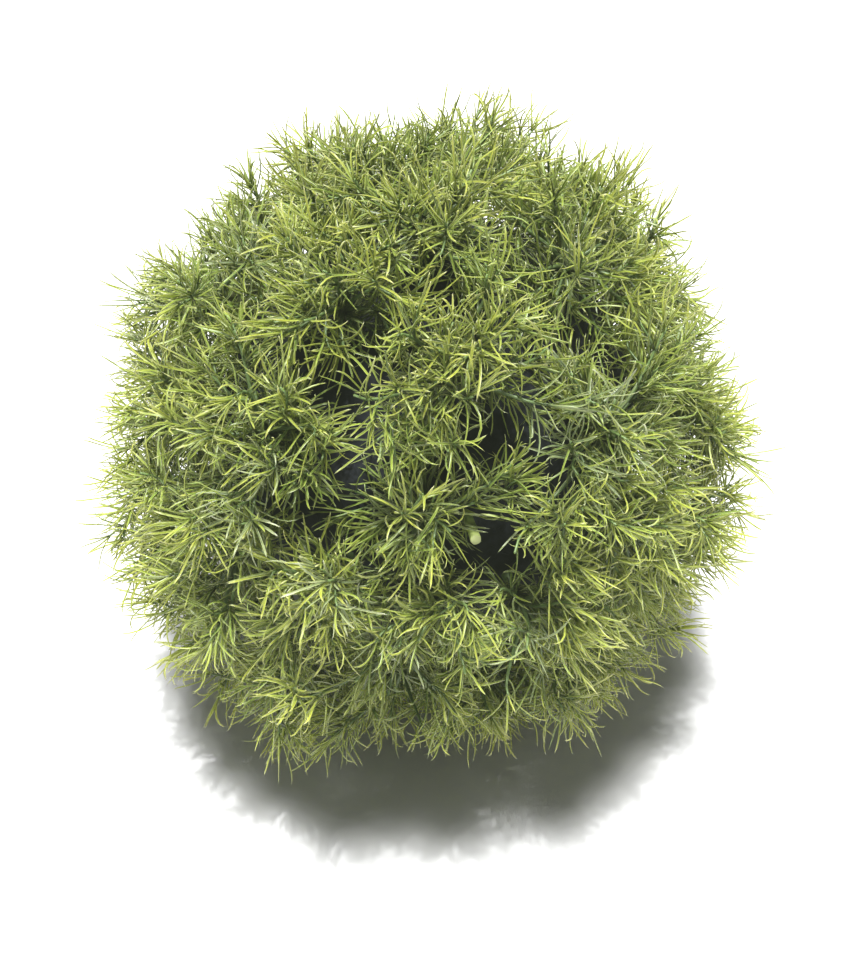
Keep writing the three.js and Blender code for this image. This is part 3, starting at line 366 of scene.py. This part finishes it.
def foliage_material():
    m, nt, bsdf = new_material("needle_foliage")
    uv = nt.nodes.new("ShaderNodeUVMap")
    uv.uv_map = "OFBake"
    xyz = nt.nodes.new("ShaderNodeSeparateXYZ")
    nt.links.new(uv.outputs[0], xyz.inputs[0])
    u, v = xyz.outputs[0], xyz.outputs[1]
    place = maths(nt, "MULTIPLY", u, float(BANDS))
    band = maths(nt, "FLOOR", place)
    cross = maths(nt, "FRACT", place)
    # 0 on the leaf's midrib, 1 on its two edges
    edge = maths(nt, "MULTIPLY", maths(nt, "ABSOLUTE", maths(nt, "SUBTRACT", cross, 0.5)), 2.5, True)
    # fine streaks along the leaf, from the map alone
    streak = nt.nodes.new("ShaderNodeTexNoise")
    streak.inputs["Scale"].default_value = 1.0
    streak.inputs["Detail"].default_value = 2.0
    stretch = nt.nodes.new("ShaderNodeCombineXYZ")
    nt.links.new(maths(nt, "MULTIPLY", u, 260.0), stretch.inputs[0])
    nt.links.new(maths(nt, "MULTIPLY", v, 9.0), stretch.inputs[1])
    nt.links.new(stretch.outputs[0], streak.inputs["Vector"])
    wobble = maths(nt, "SUBTRACT", streak.outputs["Fac"], 0.5)
    along = maths(nt, "ADD", v, maths(nt, "MULTIPLY", wobble, 0.22), True)

    # along each leaf and stem the colour runs from dark at the foot to pale at the tip: partly the plant's own colour,
    # partly painted shade deep inside the foliage
    dull_y = ramp(nt, along, [(0.0, (0.048, 0.098, 0.018)), (0.25, (0.092, 0.185, 0.026)),
                              (0.75, (0.165, 0.285, 0.028)), (1.0, (0.285, 0.390, 0.060))])
    bright_y = ramp(nt, along, [(0.0, (0.140, 0.205, 0.030)), (0.22, (0.300, 0.375, 0.046)),
                                (0.72, (0.420, 0.465, 0.050)), (1.0, (0.600, 0.600, 0.190))])
    dull_b = ramp(nt, along, [(0.0, (0.050, 0.092, 0.042)), (0.30, (0.092, 0.155, 0.074)),
                              (0.80, (0.155, 0.230, 0.110)), (1.0, (0.275, 0.345, 0.190))])
    bright_b = ramp(nt, along, [(0.0, (0.110, 0.170, 0.070)), (0.25, (0.225, 0.300, 0.135)),
                                (0.75, (0.350, 0.410, 0.205)), (1.0, (0.580, 0.610, 0.380))])
    # the dark green of leaves deep inside the foliage: painted shade
    painted_shade = ramp(nt, along, [(0.0, (0.042, 0.066, 0.024)), (0.6, (0.085, 0.140, 0.042)), (1.0, (0.150, 0.215, 0.060))])
    stem = ramp(nt, along, [(0.0, (0.090, 0.110, 0.045)), (0.5, (0.140, 0.215, 0.070)), (1.0, (0.195, 0.295, 0.095))])

    shade_y = maths(nt, "DIVIDE", band, YELLOW[1] - 1.0, True)
    shade_b = maths(nt, "DIVIDE", maths(nt, "SUBTRACT", band, float(BLUE[0])), BLUE[1] - 1.0, True)
    col = mixed(nt, shade_y, dull_y, bright_y)
    blue = mixed(nt, shade_b, dull_b, bright_b)
    col = mixed(nt, maths(nt, "GREATER_THAN", band, BLUE[0] - 0.5), col, blue)
    col = mixed(nt, maths(nt, "GREATER_THAN", band, DEEP_SHADE[0] - 0.5), col, painted_shade)
    is_stem = maths(nt, "GREATER_THAN", band, STEM[0] - 0.5)
    col = mixed(nt, is_stem, col, stem)
    # lit edges and a greener midrib, on leaves only
    edge = maths(nt, "MULTIPLY", edge, maths(nt, "SUBTRACT", 1.0, is_stem))
    rim = maths(nt, "MULTIPLY", maths(nt, "POWER", edge, 1.6), 0.36)
    col = mixed(nt, rim, col, (0.78, 0.82, 0.24))
    streaks = maths(nt, "ADD", maths(nt, "MULTIPLY", wobble, 0.70), 0.705)
    tone = nt.nodes.new("ShaderNodeCombineXYZ")
    for i in range(3):
        nt.links.new(streaks, tone.inputs[i])
    mul = nt.nodes.new("ShaderNodeVectorMath")
    mul.operation = "MULTIPLY"
    nt.links.new(col, mul.inputs[0])
    nt.links.new(tone.outputs[0], mul.inputs[1])
    nt.links.new(mul.outputs[0], bsdf.inputs["Base Color"])
    bsdf.inputs["Roughness"].default_value = 0.42
    bsdf.inputs["Specular IOR Level"].default_value = 0.45
    bsdf.inputs["Subsurface Weight"].default_value = SSS
    bsdf.inputs["Subsurface Radius"].default_value = (0.9, 1.0, 0.35)
    bsdf.inputs["Subsurface Scale"].default_value = 0.0012
    return m


SSS = 0.35


def moss_material():
    m, nt, bsdf = new_material("dark_moss")
    co = nt.nodes.new("ShaderNodeTexCoord")
    big = nt.nodes.new("ShaderNodeTexNoise")
    big.inputs["Scale"].default_value = 55
    big.inputs["Detail"].default_value = 4
    fine = nt.nodes.new("ShaderNodeTexNoise")
    fine.inputs["Scale"].default_value = 420
    fine.inputs["Detail"].default_value = 3
    for n in (big, fine):
        nt.links.new(co.outputs["Object"], n.inputs["Vector"])
    base = ramp(nt, big.outputs["Fac"], [(0.30, (0.009, 0.011, 0.014)), (0.55, (0.017, 0.020, 0.025)),
                                         (0.75, (0.030, 0.036, 0.032))])
    speck = ramp(nt, fine.outputs["Fac"], [(0.35, (0.45, 0.45, 0.45)), (0.62, (1.0, 1.0, 1.0)), (0.8, (1.7, 1.7, 1.5))])
    col = mixed(nt, 1.0, base, speck, "MULTIPLY")
    nt.links.new(col, bsdf.inputs["Base Color"])
    bump = nt.nodes.new("ShaderNodeBump")
    bump.inputs["Strength"].default_value = 0.7
    bump.inputs["Distance"].default_value = 0.0006
    nt.links.new(fine.outputs["Fac"], bump.inputs["Height"])
    nt.links.new(bump.outputs[0], bsdf.inputs["Normal"])
    bsdf.inputs["Roughness"].default_value = 0.85
    bsdf.inputs["Specular IOR Level"].default_value = 0.25
    return m


def stub_material():
    m, nt, bsdf = new_material("cut_stem")
    co = nt.nodes.new("ShaderNodeTexCoord")
    n = nt.nodes.new("ShaderNodeTexNoise")
    n.inputs["Scale"].default_value = 300
    n.inputs["Detail"].default_value = 3
    nt.links.new(co.outputs["Object"], n.inputs["Vector"])
    uv = nt.nodes.new("ShaderNodeUVMap")
    uv.uv_map = "OFBake"
    xyz = nt.nodes.new("ShaderNodeSeparateXYZ")
    nt.links.new(uv.outputs[0], xyz.inputs[0])
    at = maths(nt, "ADD", xyz.outputs[1], maths(nt, "MULTIPLY", maths(nt, "SUBTRACT", n.outputs["Fac"], 0.5), 0.16), True)
    col = ramp(nt, at, [(0.0, (0.060, 0.090, 0.030)), (0.36, (0.150, 0.220, 0.050)), (0.58, (0.290, 0.370, 0.090)),
                        (0.86, (0.420, 0.500, 0.160)), (0.96, (0.470, 0.520, 0.220))])
    nt.links.new(col, bsdf.inputs["Base Color"])
    bsdf.inputs["Roughness"].default_value = 0.5
    return m


def floor_material():
    m, nt, bsdf = new_material("pale_floor")
    co = nt.nodes.new("ShaderNodeTexCoord")
    n = nt.nodes.new("ShaderNodeTexNoise")
    n.inputs["Scale"].default_value = 60
    nt.links.new(co.outputs["Object"], n.inputs["Vector"])
    nt.links.new(ramp(nt, n.outputs["Fac"], [(0.3, (0.67, 0.67, 0.67)), (0.7, (0.70, 0.70, 0.70))]),
                 bsdf.inputs["Base Color"])
    bsdf.inputs["Roughness"].default_value = 0.9
    bsdf.inputs["Specular IOR Level"].default_value = 0.1
    return m


foliage = foliage_material()
moss = moss_material()


# ---- sprigs ----
def press(v):
    """Foliage under the ball lies pressed on what it rests on: nothing goes below it."""
    h = 0.0045
    z = v[:, 2]
    low = z < h
    lost = np.where(low, h - z, 0)
    v[:, 2] = np.where(low, h * np.exp(np.clip((z - h) / h, -6, 0)) - 0.0001, z)
    flat = np.linalg.norm(v[:, :2], axis=1)
    grow = 1 + 0.35 * lost / np.maximum(flat, 0.02)
    v[:, 0] *= grow
    v[:, 1] *= grow
    return v


def shades(rng, blue, tone, n, spread=2.2):
    """A colour band for each leaf: tone runs from 0, dull, to 1, bright."""
    lo, many = BLUE if blue else YELLOW
    pick = np.asarray(tone) * (many - 1) + rng.normal(0, spread * many / 12, n)
    return lo + np.clip(np.round(pick), 0, many - 1)


EYE = CENTRE + direction(-90.0, VIEW_EL) * VIEW_DIST
cleft_at = [CENTRE + direction(az, el) * 0.094 for az, el, _, _ in CLEFTS]
cleft_to = [unit(EYE - p) for p in cleft_at]
cleft_r = [r / 1000 for _, _, r, _ in CLEFTS]
cleft_bare = [bare for _, _, _, bare in CLEFTS]
# the cut stem shows in a cleft of its own
cleft_at.append(CENTRE + direction(STUB_AZ, STUB_EL) * 0.081)
cleft_to.append(unit(EYE - cleft_at[-1]))
cleft_r.append(0.0058)
cleft_bare.append(1.3)
back_rng = np.random.default_rng(23)
for k in range(90):
    z = 1 - 2 * (k + 0.5) / 90
    a = k * 2.399963 + 0.5
    d = unit(np.array([math.sqrt(1 - z * z) * math.cos(a), math.sqrt(1 - z * z) * math.sin(a), z])
             + back_rng.normal(0, 0.10, 3))
    r, bare, take = back_rng.uniform(0.0045, 0.0080), back_rng.uniform(0.4, 1.0), back_rng.random()
    if np.dot(d, unit(EYE - CENTRE)) < -0.12 and z > -0.93 and take < 0.80:
        cleft_at.append(CENTRE + d * 0.094)
        cleft_to.append(unit(d + back_rng.normal(0, 0.25, 3)))
        cleft_r.append(r)
        cleft_bare.append(bare)
cleft_at, cleft_to = np.array(cleft_at), np.array(cleft_to)
cleft_r, cleft_bare = np.array(cleft_r), np.array(cleft_bare)


def bareness(p):
    """How far each point lies inside a cleft: 0 outside them all, up to 1 deep inside one."""
    p = np.atleast_2d(p)
    rel = p[:, None] - cleft_at[None]
    up = np.sum(rel * cleft_to[None], -1)
    off = np.linalg.norm(rel - np.clip(up, -0.004, None)[..., None] * cleft_to[None], axis=-1)
    inside = np.clip((1.15 - off / cleft_r) / 0.35, 0, 1) * cleft_bare
    # the lowest leaves stay
    high = np.clip((np.linalg.norm(p - CENTRE, axis=-1) - 0.0835) / 0.006, 0, 1)
    return inside.max(1) * high


def leafy(parts, rng, P, D, many, span, size, tone0, blue, rank):
    """Leaves in a spiral up a twig, over the last span metres of it, closer together
    towards its tip. P and D are the twig's points and directions."""
    run = np.concatenate([[0], np.cumsum(np.linalg.norm(np.diff(P, axis=0), axis=1))])
    total = run[-1]
    many = max(6, int(round(many * rng.uniform(0.86, 1.14))))
    back = span * np.sort(rng.random(many)) ** 1.2
    here = total - back
    i = np.clip(np.searchsorted(run, here), 1, len(P) - 1)
    f = ((here - run[i - 1]) / np.maximum(run[i] - run[i - 1], 1e-9))[:, None]
    p = P[i - 1] * (1 - f) + P[i] * f
    a = unit(D[i - 1] * (1 - f) + D[i] * f)
    fi = np.arange(many) * 2.39996 + rng.uniform(0, 6.3) + rng.normal(0, 0.35, many)
    x = square_to(a)
    y = np.cross(a, x)
    out = np.cos(fi)[:, None] * x + np.sin(fi)[:, None] * y
    low = 1 - np.exp(-back / 0.0036)
    start = 0.22 + 0.84 * low + rng.normal(0, 0.22, many)
    sway = rng.normal(0.38, 0.48, many)
    sway = np.where(rng.random(many) < 0.32, -0.8 * np.abs(sway) - 0.2, sway)
    ln = LEAF_L * size * (0.86 + 0.18 * low) * np.clip(rng.normal(1.0, 0.17, many), 0.55, 1.45)
    # leaves farther down a twig, deeper in the foliage, are painted duller, and many of the lowest get the dark deep
    # bands, more so on the deeper filler tufts: painted shade
    tone = tone0 * (1.12 - 0.85 * back / span)
    band = shades(rng, blue, tone, many)
    if blue:
        band = np.where(rng.random(many) < 0.40, shades(rng, 0, tone * 0.8, many), band)
    shaded_ones = rng.random(many) < np.clip((back / span - 0.62) * 2.0 + 0.25 * rank, 0, 0.9)
    band = np.where(shaded_ones, DEEP_SHADE[0] + rng.integers(0, DEEP_SHADE[1], many), band)
    width = rng.normal(1, 0.10, many) * LEAF_W
    curl, roll, hook, keep = rng.normal(0, 0.45, many), rng.normal(0, 0.7, many), rng.normal(0.15, 0.85, many), rng.random(many)
    # leaves that would close a cleft are missing
    lean = (start + 0.5 * sway)[:, None]
    tip = p + (np.cos(lean) * a + np.sin(lean) * out) * ln[:, None]
    bare = np.maximum(bareness(tip), bareness(0.45 * p + 0.55 * tip))
    ok = keep >= bare * CLEAR
    leaves(parts, (p + out * 0.0003)[ok], a[ok], out[ok], start[ok], (start + sway)[ok], ln[ok],
           width[ok], np.full(ok.sum(), LEAF_T), curl[ok], roll[ok], band[ok], hook=hook[ok])


def sprig(name, stem_at, tufts, seed):
    rng = np.random.default_rng(seed)
    parts = Parts()
    axis = direction(*stem_at)
    foot = CENTRE + axis * STEM_FOOT_R
    fork = CENTRE + axis * FORK_R
    # stem, from inside the root ball to the fork
    P, D = bend(foot[None], axis[None], fork[None], axis[None], 5)
    stalks(parts, P, D, np.array([[0.0021, 0.0019, 0.0016, 0.0012, 0.0003]]), sides=9, band=STEM[0])
    # low leaves on the stem, all in the dark deep bands: painted shade inside the foliage
    n = 44
    az = np.arange(n) * 2.39996 + rng.uniform(0, 6.3)
    x = square_to(axis)[0]
    y = np.cross(axis, x)
    out = np.cos(az)[:, None] * x + np.sin(az)[:, None] * y
    at = 0.0722 + (FORK_R + 0.0008 - 0.0722) * np.arange(n) / n
    leaves(parts, CENTRE + axis * at[:, None] + out * 0.001, np.tile(axis, (n, 1)), out,
           rng.uniform(0.55, 1.25, n), rng.uniform(0.8, 1.65, n), rng.uniform(0.013, 0.021, n),
           rng.uniform(0.85, 1.1, n) * LEAF_W, np.full(n, LEAF_T), rng.normal(0, 0.35, n), rng.normal(0, 0.5, n),
           DEEP_SHADE[0] + rng.integers(0, DEEP_SHADE[1], n).astype(float))
    for az_t, el_t, reach, blue, rank in tufts:
        rng = np.random.default_rng([int(round(az_t * 10)) + 3600, int(round(el_t * 10)) + 900, rank])
        d = direction(az_t, el_t)
        size = float(np.clip(rng.normal(1.0, 0.09), 0.82, 1.2))
        top_len = LEAF_L * 0.86 * size
        tilt = rng.normal(0, 0.42, 3)
        aim = unit(d + tilt - d * np.dot(tilt, d))
        away = d - axis * np.dot(d, axis)
        aim = unit(aim + 0.22 * away)
        end_r = reach / 1000 - top_len * (0.30 + 0.60 * float(np.dot(aim, d)))
        end = CENTRE + d * end_r
        if end[2] < 0.0035:
            end[2] = 0.0035
        P, D = bend(fork[None], unit(axis + 0.9 * away)[None], end[None], aim[None], 25)
        k = np.linspace(0, 24, 9).round().astype(int)
        stalks(parts, P[:, k], D[:, k], np.linspace(0.00080, 0.00034, 9)[None], sides=6, band=STEM[0])
        P, D = P[0], D[0]
        total = float(np.sum(np.linalg.norm(np.diff(P, axis=0), axis=1)))
        # tufts reaching farthest out are painted brighter and yellower, where more light falls on them: painted light
        outer_light = np.clip((reach - 107) / 9, -1.2, 0.8) * 0.26 if rank == 0 else 0.0
        # tufts round the ball's outline as seen from the camera are painted brighter: painted rim light
        rim_light = 0.14 * max(0.0, 1 - abs(float(np.dot(d, unit(EYE - CENTRE)))) / 0.5)
        # the deeper filler tufts (rank 1) are painted duller: painted shade
        tone0 = float(np.clip(rng.normal(0.59 + outer_light + rim_light - 0.30 * rank, 0.19), 0.05, 0.98))
        leafy(parts, rng, P, D, (24, 26)[rank], min(0.0185 * size, total - 0.0006), size, tone0, blue, rank)
        # side twigs below the tip, each with leaves of its own
        for g in range((3, 1)[rank]):
            low = int(np.clip(24 - (0.0060 + 0.0048 * g + rng.uniform(0, 0.003)) / total * 24, 4, 22))
            p0, d0 = P[low], D[low]
            x = square_to(d0)[0]
            y = np.cross(d0, x)
            turn = rng.uniform(0, 2 * math.pi)
            go = unit(d0 * 0.75 + math.cos(turn) * x + math.sin(turn) * y)
            run = rng.uniform(0.0075, 0.0110) * size
            p1 = p0 + go * run
            far = np.linalg.norm(p1 - CENTRE)
            limit = reach / 1000 - top_len * 0.62
            if far > limit:
                p1 = CENTRE + (p1 - CENTRE) * (limit / far)
            d1 = unit(go + rng.normal(0, 0.30, 3) + 0.25 * d)
            if bareness(p1)[0] > 0.5:
                continue
            p1[2] = max(p1[2], 0.0035)
            TP, TD = bend(p0[None], unit(go + 0.4 * d0)[None], p1[None], d1[None], 25)
            stalks(parts, TP[:, ::6], TD[:, ::6], np.linspace(0.00044, 0.00028, 5)[None], sides=5, band=STEM[0])
            tone = float(np.clip(tone0 + rng.normal(0, 0.14), 0.05, 0.98))
            leafy(parts, rng, TP[0], TD[0], 13, run * 0.92, size * 0.94, tone, blue, rank)
    for i, v in enumerate(parts.v):
        parts.v[i] = press(v)
    ob = mesh_object(name + "_leaves", parts, foliage)
    return ob


# the measured tufts, then finer ones below them that fill the foliage, each on the
# nearest sprig
sprigs = [[name, at, [(*row, 0) for row in rows]] for name, at, rows in SPRIGS]
axes = np.array([direction(*at) for _, at, _ in SPRIGS])
heads = np.array([direction(row[0], row[1]) for _, _, rows in SPRIGS for row in rows])
head_reach = np.array([row[2] for _, _, rows in SPRIGS for row in rows])
FILL = 580
fill_rng = np.random.default_rng(11)
for k in range(FILL):
    z = 1 - 2 * (k + 0.5) / FILL
    a = k * 2.399963 + fill_rng.normal(0, 0.04)
    rad = math.sqrt(1 - z * z)
    d = unit(np.array([rad * math.cos(a), rad * math.sin(a), z]) + fill_rng.normal(0, 0.035, 3))
    # a little way below the measured tufts next to it
    near = float(np.sort(head_reach[np.argsort(-(heads @ d))[:3]])[1])
    reach = max(92.0, near - fill_rng.uniform(9, 17))
    if abs(np.dot(d, unit(EYE - CENTRE))) < 0.55:
        reach += 3.0
    if np.max(heads @ d) > math.cos(math.radians(3.5)):
        continue
    open_at = bareness(CENTRE + d * 0.094)[0]
    if open_at > 0.75:
        continue
    if open_at > 0.5:
        reach = fill_rng.uniform(85, 90)
    own = int(np.argmax(axes @ d))
    sprigs[own][2].append((math.degrees(math.atan2(d[1], d[0])), math.degrees(math.asin(d[2])), reach, 0, 1))
# a few more where light would show through beside the root ball
for az, el, reach in ((-174, -6, 91), (-166, 2, 89), (-179, 5, 90), (-170, -15, 90), (176, -14, 89)):
    own = int(np.argmax(axes @ direction(az, el)))
    sprigs[own][2].append((az, el, reach, 0, 1))

for i, (name, stem_at, tufts) in enumerate(sprigs):
    ob = sprig(name, stem_at, tufts, 100 + i)
    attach(ob, "root")
    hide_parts(name)


# ---- root ball: uneven dark moss with short fibres ----
def root_ball():
    import bmesh

    bm = bmesh.new()
    bmesh.ops.create_icosphere(bm, subdivisions=6, radius=1.0)
    v = np.array([x.co[:] for x in bm.verts])
    f = np.array([[x.index for x in face.verts] for face in bm.faces])
    bm.free()
    lump = (np.sin(v[:, 0] * 7.1 + 1.3) * np.sin(v[:, 1] * 6.3 + 0.4) * np.sin(v[:, 2] * 6.9 + 2.2) * 0.0011
            + np.sin(v[:, 0] * 23 + 4 * v[:, 1]) * np.sin(v[:, 1] * 19 - 5 * v[:, 2]) * np.sin(v[:, 2] * 21 + 3 * v[:, 0]) * 0.0006)
    rng = np.random.default_rng(7)
    grain = rng.normal(0, 0.00018, len(v))
    r = CORE_R - 0.0006 + lump + grain
    pts = CENTRE + v * r[:, None]
    parts = Parts()
    lon = (np.arctan2(v[:, 1], v[:, 0]) / (2 * math.pi) + 0.5)
    uv = np.stack([lon, v[:, 2] * 0.5 + 0.5], -1)
    parts.add(pts, uv, np.full(len(pts), 9), np.zeros((0, 4), int), f)
    # fibres
    n = 3380
    k = np.arange(n) + 0.5
    z = 1 - 2 * k / n
    a = k * 2.399963 + rng.normal(0, 0.03, n)
    rad = np.sqrt(1 - z * z)
    d = unit(np.stack([rad * np.cos(a), rad * np.sin(a), z], -1) + rng.normal(0, 0.012, (n, 3)))
    lumpd = np.sin(d[:, 0] * 7.1 + 1.3) * np.sin(d[:, 1] * 6.3 + 0.4) * np.sin(d[:, 2] * 6.9 + 2.2) * 0.0011
    foot = CENTRE + d * (CORE_R - 0.0012 + lumpd)[:, None]
    x = square_to(d)
    y = np.cross(d, x)
    fi = rng.uniform(0, 6.3, n)
    out = np.cos(fi)[:, None] * x + np.sin(fi)[:, None] * y
    start = rng.uniform(0.5, 1.1, n)
    leaves(parts, foot, d, out, start, start + rng.uniform(0.1, 0.7, n), rng.uniform(0.0024, 0.0046, n),
           rng.uniform(0.00028, 0.0005, n), rng.uniform(0.0002, 0.0003, n), rng.normal(0, 0.6, n),
           rng.normal(0, 0.5, n), rng.integers(0, BANDS, n).astype(float))
    return mesh_object("root_ball_moss", parts, moss)


core = root_ball()
if "OFBake" in core.data.uv_layers:
    core.data.uv_layers["OFBake"].name = "Fibres"
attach(core, "root")
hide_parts("core_ball")


# ---- bare cut stem at the front ----
def stub():
    d = direction(STUB_AZ, STUB_EL)
    parts = Parts()
    foot, tip = CENTRE + d * STUB_FOOT_R, CENTRE + d * (STUB_TIP_R - 0.0004)
    sag = d + np.array([0.04, 0.0, -0.10])
    at = np.concatenate([np.linspace(0, 0.9, 8), [0.95, 0.985, 1.0]])
    P = foot + (tip - foot) * at[:, None] + np.array([0.0006, 0, 0.0012]) * (at * (1 - at))[:, None]
    D = np.tile(d, (len(at), 1))
    r = np.interp(at, [0, 0.5, 0.9, 0.97, 0.985, 1.0], [1.0, 0.97, 0.96, 1.0, 0.97, 0.86]) * STUB_RAD
    stalks(parts, P[None], D[None], r[None], sides=20, band=0, ribs=0.035)
    uvs = parts.uv[0]
    uvs[:, 0] = (uvs[:, 0] * BANDS - 0.1) / 0.8 * 0.6 + 0.05
    return mesh_object("cut_stem", parts, stub_material())


cut = stub()
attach(cut, "root")
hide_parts("stem_stub")

# ---- floor, light and camera ----
bpy.ops.mesh.primitive_circle_add(vertices=96, radius=40, fill_type="NGON", location=(0, 0, 0))
floor = bpy.context.object
floor.name = "floor"
floor.data.materials.append(floor_material())

VEIL = 0.055
WORLD = 0.17
world = bpy.data.worlds.new("studio")
bpy.context.scene.world = world
world.use_nodes = True
wn = world.node_tree
around = wn.nodes["Background"]
around.inputs["Color"].default_value = (1.0, 1.0, 1.0, 1)
around.inputs["Strength"].default_value = WORLD
seen = wn.nodes.new("ShaderNodeBackground")
seen.inputs["Color"].default_value = (1.0, 1.0, 1.0, 1)
seen.inputs["Strength"].default_value = 1.05
path = wn.nodes.new("ShaderNodeLightPath")
pick = wn.nodes.new("ShaderNodeMixShader")
wn.links.new(path.outputs["Is Camera Ray"], pick.inputs[0])
wn.links.new(around.outputs[0], pick.inputs[1])
wn.links.new(seen.outputs[0], pick.inputs[2])
wn.links.new(pick.outputs[0], wn.nodes["World Output"].inputs["Surface"])


KEY = 8.9
FALL = (0.16, -0.17, -3.89)


def overhead(name, degrees, strength):
    """Even light from almost straight above, the same all over the floor."""
    light = bpy.data.lights.new(name, "SUN")
    light.angle = math.radians(degrees)
    light.energy = strength
    ob = bpy.data.objects.new(name, light)
    bpy.context.scene.collection.objects.link(ob)
    ob.location = (0, 0, 1.5)
    ob.rotation_mode = "QUATERNION"
    ob.rotation_quaternion = Vector(FALL).to_track_quat("-Z", "Y")
    return ob


overhead("key", 1.6, KEY * 0.30)
# a wide soft source around it
overhead("key_soft", 17.0, KEY * 0.70)

FOCAL_PX = 1217.0
DIST = 0.420
ELEV = math.radians(42.3)
cam_data = bpy.data.cameras.new("camera")
cam_data.lens = FOCAL_PX * 36.0 / 964.0
cam_data.sensor_width = 36.0
cam_data.sensor_fit = "AUTO"
cam = bpy.data.objects.new("camera", cam_data)
bpy.context.scene.collection.objects.link(cam)
bpy.context.scene.camera = cam
eye = Vector(CENTRE) + Vector((0, -math.cos(ELEV), math.sin(ELEV))) * DIST
cam.location = eye
# the ball's middle lands 5 px right of and 57 px above the middle of an 850 x 964 picture
pitch = ELEV + math.atan(57.0 / FOCAL_PX)
turn = math.atan(5.0 / FOCAL_PX)
look = Vector((-math.sin(turn) * math.cos(pitch), math.cos(turn) * math.cos(pitch), -math.sin(pitch)))
cam.rotation_mode = "QUATERNION"
cam.rotation_quaternion = look.to_track_quat("-Z", "Y")
cam_data.clip_start, cam_data.clip_end = 0.01, 50

view = bpy.context.scene.view_settings
view.view_transform = "Standard"
view.look = "None"
view.exposure = 0.0
view.gamma = 1.0

# a faint veil of stray light from the bright surroundings
scene = bpy.context.scene
scene.use_nodes = True
ct = scene.node_tree
ct.nodes.clear()
layers = ct.nodes.new("CompositorNodeRLayers")
spread = ct.nodes.new("CompositorNodeBlur")
spread.filter_type = "FAST_GAUSS"
spread.use_relative = True
spread.aspect_correction = "NONE"
spread.factor_x = spread.factor_y = 14.0
ct.links.new(layers.outputs["Image"], spread.inputs["Image"])
veil = ct.nodes.new("CompositorNodeMixRGB")
veil.blend_type = "MIX"
veil.inputs[0].default_value = VEIL
ct.links.new(layers.outputs["Image"], veil.inputs[1])
ct.links.new(spread.outputs["Image"], veil.inputs[2])
haze = ct.nodes.new("CompositorNodeMixRGB")
haze.blend_type = "ADD"
haze.inputs[0].default_value = 1.0
haze.inputs[2].default_value = (0.013, 0.0150, 0.0105, 1)
ct.links.new(veil.outputs["Image"], haze.inputs[1])
final = ct.nodes.new("CompositorNodeComposite")
ct.links.new(haze.outputs["Image"], final.inputs["Image"])
